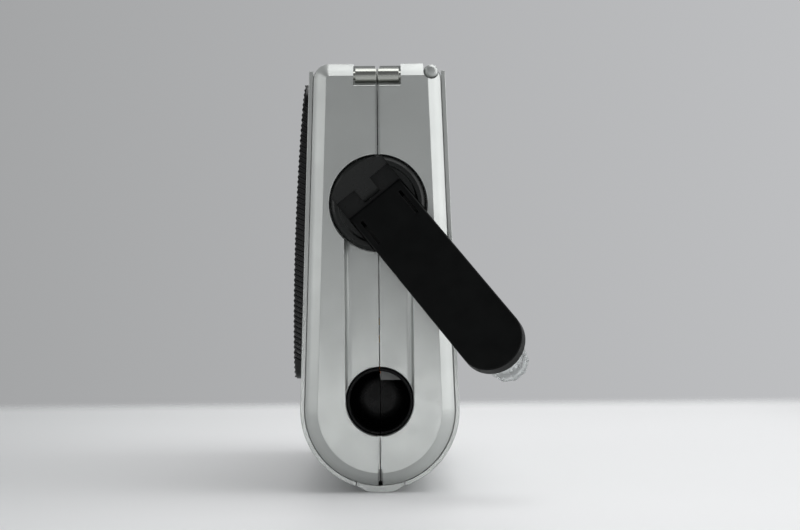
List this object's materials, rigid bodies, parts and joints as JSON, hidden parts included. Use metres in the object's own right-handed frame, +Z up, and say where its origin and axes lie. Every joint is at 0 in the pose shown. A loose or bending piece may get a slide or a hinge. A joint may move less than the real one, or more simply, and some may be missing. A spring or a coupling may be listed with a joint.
{
  "type": "hand crank flashlight",
  "caption": "Hand-cranked flashlight and radio: silver two-shell case on edge, folding black crank with clear knob, front grille and dial, lamp at the far end.",
  "frame": {"origin": "on the table under the middle of the case, at the centre of the foot's flat face", "axes": "+X out of the crank end, -Y out of the speaker front, +Z up"},
  "size_m": [0.2069, 0.0777, 0.145],
  "materials": {
    "silver": "silver metallic paint, semi-gloss",
    "black_satin": "satin",
    "black_gloss": "gloss",
    "grille_black": "perforated sheet, satin black",
    "rubber": "matte",
    "clear": "clear",
    "steel": "satin",
    "gear_white": "moulded",
    "brass": "turned",
    "copper": "wound wire",
    "board_green": "laminate",
    "ferrite": "matte",
    "pointer_red": "moulded",
    "reflector_chrome": "mirror plating on plastic",
    "antenna_chrome": "polished",
    "cell_label": "plain label"
  },
  "bodies": {
    "root": {"antenna_screw": "steel", "base_pad": "silver", "battery_1": "cell_label", "battery_2": "cell_label", "battery_3": "cell_label", "battery_tray": "black_satin", "case_screw_1": "steel", "case_screw_2": "steel", "case_screw_3": "steel", "case_screw_4": "steel", "charge_socket": "black_satin", "circuit_board": "board_green", "crank_bush": "brass", "dial_plate": "gear_white", "dial_window": "clear", "dynamo_case": "steel", "dynamo_coil": "copper", "earphone_socket": "black_satin", "ferrite_rod": "ferrite", "front_panel": "silver", "front_shell": "silver", "gear_frame": "steel", "idler_axle": "steel", "lamp_bezel": "black_gloss", "lamp_lens": "clear", "lamp_reflector": "reflector_chrome", "led_1": "clear", "led_2": "clear", "led_3": "clear", "led_board": "board_green", "pocket_cup_front": "black_satin", "pocket_cup_rear": "black_satin", "rear_panel": "silver", "rear_shell": "silver", "speaker_cone": "black_satin", "speaker_frame": "steel", "speaker_grille": "grille_black", "tuning_capacitor": "gear_white", "volume_control": "steel"},
    "crank_hub": {"crank_hub": "black_gloss", "crank_shaft": "steel", "crank_gear": "gear_white"},
    "crank_arm": {"crank_arm": "black_satin", "knob_pin": "steel"},
    "crank_knob": {"crank_knob": "clear"},
    "idler": {"idler_gear": "gear_white"},
    "rotor": {"dynamo_rotor": "steel", "dynamo_pinion": "brass"},
    "tuning_knob": {"tuning_knob": "black_satin"},
    "dial_pointer": {"dial_pointer": "pointer_red"},
    "volume_knob": {"volume_knob": "black_satin"},
    "band_switch": {"band_switch": "black_satin"},
    "light_switch": {"light_switch": "black_satin"},
    "antenna_rod": {"antenna_lug": "antenna_chrome", "antenna_tube_1": "antenna_chrome"},
    "antenna_middle": {"antenna_tube_2": "antenna_chrome"},
    "antenna_top": {"antenna_tube_3": "antenna_chrome"},
    "battery_door": {"battery_door": "silver"},
    "socket_cover": {"socket_cover": "rubber"}
  },
  "joints": [
    {"name": "crank_spin", "type": "hinge", "parent": "root", "child": "crank_hub", "pos_m": [0.08, 0, 0.0976], "axis": [1, 0, 0], "continuous": true},
    {"name": "crank_fold", "type": "hinge", "parent": "crank_hub", "child": "crank_arm", "pos_m": [0.0816, 0.00019, 0.09737], "axis": [0, -0.7793, -0.6266], "range_deg": [-8, 129]},
    {"name": "knob_spin", "type": "hinge", "parent": "crank_arm", "child": "crank_knob", "pos_m": [0.11188, 0.03739, 0.0511], "axis": [0.8746, -0.3038, 0.3778], "continuous": true},
    {"name": "idler_spin", "type": "hinge", "parent": "root", "child": "idler", "pos_m": [0.066, 0, 0.076], "axis": [1, 0, 0], "continuous": true},
    {"name": "rotor_spin", "type": "hinge", "parent": "root", "child": "rotor", "pos_m": [0.0645, 0, 0.0544], "axis": [1, 0, 0], "continuous": true},
    {"name": "tuning_turn", "type": "hinge", "parent": "root", "child": "tuning_knob", "pos_m": [-0.014, -0.02362, 0.082], "axis": [0, 0.9994, -0.0349], "range_deg": [-150, 150]},
    {"name": "dial_slide", "type": "slide", "parent": "root", "child": "dial_pointer", "axis": [1, 0, 0], "range_m": [-0.0265, 0.0265]},
    {"name": "volume_turn", "type": "hinge", "parent": "root", "child": "volume_knob", "pos_m": [-0.046, -0.02362, 0.082], "axis": [0, 0.9994, -0.0349], "range_deg": [0, 280]},
    {"name": "band_slide", "type": "slide", "parent": "root", "child": "band_switch", "axis": [1, 0, 0], "range_m": [-0.004, 0.004]},
    {"name": "light_slide", "type": "slide", "parent": "root", "child": "light_switch", "axis": [1, 0, 0], "range_m": [-0.004, 0.004]},
    {"name": "antenna_raise", "type": "hinge", "parent": "root", "child": "antenna_rod", "pos_m": [-0.074, 0.0182, 0.142], "axis": [0, -1, 0], "range_deg": [0, 180]},
    {"name": "antenna_extend_middle", "type": "slide", "parent": "antenna_rod", "child": "antenna_middle", "axis": [1, 0, 0], "range_m": [0, 0.12]},
    {"name": "antenna_extend_top", "type": "slide", "parent": "antenna_middle", "child": "antenna_top", "axis": [1, 0, 0], "range_m": [0, 0.12]},
    {"name": "battery_door_open", "type": "hinge", "parent": "root", "child": "battery_door", "pos_m": [-0.03565, 0.02694, 0.02988], "axis": [-1, 0, 0], "range_deg": [0, 110]},
    {"name": "socket_cover_lift", "type": "hinge", "parent": "root", "child": "socket_cover", "pos_m": [-0.0843, 0, 0.068], "axis": [0, 1, 0], "range_deg": [0, 100]}
  ],
  "couplings": [
    {"joint": "idler_spin", "follows": "crank_spin", "ratio": -3},
    {"joint": "rotor_spin", "follows": "crank_spin", "ratio": 9},
    {"joint": "dial_slide", "follows": "tuning_turn", "m_per_rad": 0.01}
  ]
}
